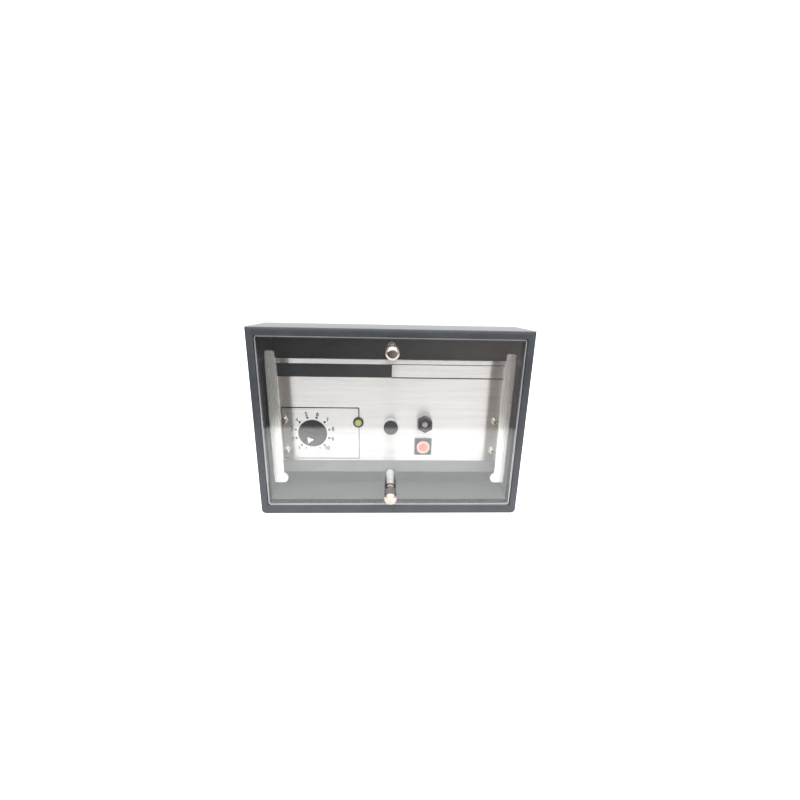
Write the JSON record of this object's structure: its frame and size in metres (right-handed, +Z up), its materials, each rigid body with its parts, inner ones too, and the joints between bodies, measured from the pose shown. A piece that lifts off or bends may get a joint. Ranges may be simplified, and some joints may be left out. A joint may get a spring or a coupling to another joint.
{
  "type": "protection relay",
  "caption": "Drawout protection relay: dark bezel with a clear screwed cover over a brushed panel with setting dial, lamp, buttons, target and pull handles; steel case behind.",
  "frame": {"origin": "centre of the bezel's rear face, on the plane of the switchboard panel, midway between the four studs", "axes": "+X to the right seen from the front, +Y to the rear through the switchboard panel, +Z up"},
  "size_m": [0.17, 0.1846, 0.122],
  "materials": {
    "bezel_moulding": "fine matt moulded skin",
    "cover_clear": "clear polished plastic sheet",
    "gasket_rubber": "soft black strip",
    "zinc_steel": "zinc plate",
    "black_steel": "black enamel on sheet steel",
    "terminal_moulding": "black moulding",
    "brass_plate": "dull brass",
    "nickel": "nickel plate",
    "inner_moulding": "black moulding",
    "panel_aluminium": "long horizontal brush marks",
    "handle_aluminium": "satin",
    "board_laminate": "green solder mask",
    "core_steel": "varnished laminations",
    "coil_wrap": "amber tape over copper",
    "relay_case": "clear dust cover",
    "can_sleeve": "shrink sleeve",
    "film_case": "dipped case",
    "resistor_body": "lacquer with colour bands",
    "pot_case": "plated can",
    "control_moulding": "satin black",
    "pointer_white": "white fill",
    "lamp_green": "tinted lens",
    "plunger_grey": "grey moulding",
    "target_red": "red fluorescent paint",
    "pin_steel": "bright wire"
  },
  "bodies": {
    "case": {"bezel": "bezel_moulding", "cover_gasket": "gasket_rubber", "mounting_studs": "zinc_steel", "case_shell": "black_steel", "case_screws": "zinc_steel", "terminal_block_upper": "terminal_moulding", "terminal_block_lower": "terminal_moulding", "terminal_plates_upper": "brass_plate", "terminal_plates_lower": "brass_plate", "terminal_screws_upper": "nickel", "terminal_screws_lower": "nickel", "earth_screw": "brass_plate", "card_guide_left": "inner_moulding", "card_guide_right": "inner_moulding", "edge_connector": "inner_moulding"},
    "drawout": {"chassis_plate": "black_steel", "dial_panel": "panel_aluminium", "panel_screws": "nickel", "handle_left": "handle_aluminium", "handle_right": "handle_aluminium", "standoff_top": "nickel", "standoff_bottom": "nickel", "circuit_board": "board_laminate", "edge_contacts": "brass_plate", "board_brackets": "zinc_steel", "bracket_screws": "zinc_steel", "board_screws": "zinc_steel", "transformer_core": "core_steel", "transformer_coil": "coil_wrap", "output_relay": "relay_case", "electrolytic_capacitors": "can_sleeve", "film_capacitors": "film_case", "resistors": "resistor_body", "integrated_circuits": "inner_moulding", "potentiometer": "pot_case", "lamp_holder": "control_moulding", "lamp_lens": "lamp_green", "lamp_leads": "pin_steel", "reset_bushing": "nickel", "reset_switch": "inner_moulding", "trip_guard": "control_moulding", "trip_switch": "inner_moulding", "target_housing": "control_moulding", "target_coil": "coil_wrap"},
    "cover": {"clear_cover": "cover_clear", "cover_eyelets": "nickel"},
    "upper_thumbscrew": {"thumbscrew_top": "nickel", "clip_top": "pin_steel"},
    "lower_thumbscrew": {"thumbscrew_bottom": "nickel", "clip_bottom": "pin_steel"},
    "dial": {"dial_disc": "control_moulding", "dial_pointer": "pointer_white", "dial_shaft": "nickel"},
    "reset_push": {"reset_button": "control_moulding"},
    "trip_push": {"trip_button": "plunger_grey"},
    "target_flag": {"target_disc": "target_red", "target_pin": "pin_steel"}
  },
  "joints": [
    {"name": "chassis_drawout", "type": "slide", "parent": "case", "child": "drawout", "axis": [0, -1, 0], "range_m": [0, 0.15]},
    {"name": "cover_off", "type": "slide", "parent": "drawout", "child": "cover", "axis": [0, -1, 0], "range_m": [0, 0.06]},
    {"name": "upper_thumbscrew_turn", "type": "hinge", "parent": "cover", "child": "upper_thumbscrew", "pos_m": [0, -0.04, 0.048], "axis": [0, 1, 0], "continuous": true},
    {"name": "lower_thumbscrew_turn", "type": "hinge", "parent": "cover", "child": "lower_thumbscrew", "pos_m": [0, -0.04, -0.0445], "axis": [0, 1, 0], "continuous": true},
    {"name": "dial_turn", "type": "hinge", "parent": "drawout", "child": "dial", "pos_m": [-0.0546, -0.009, -0.0139], "axis": [0, 1, 0], "range_deg": [0, 313]},
    {"name": "reset_press", "type": "slide", "parent": "drawout", "child": "reset_push", "axis": [0, 1, 0], "range_m": [0, 0.0015], "stiffness_N_per_m": 400, "springref_m": -0.002},
    {"name": "trip_press", "type": "slide", "parent": "drawout", "child": "trip_push", "axis": [0, 1, 0], "range_m": [0, 0.002], "stiffness_N_per_m": 400, "springref_m": -0.002},
    {"name": "target_flip", "type": "hinge", "parent": "drawout", "child": "target_flag", "pos_m": [0.0232, -0.0109, -0.0233], "axis": [0.7071, 0, 0.7071], "range_deg": [0, 180]}
  ]
}
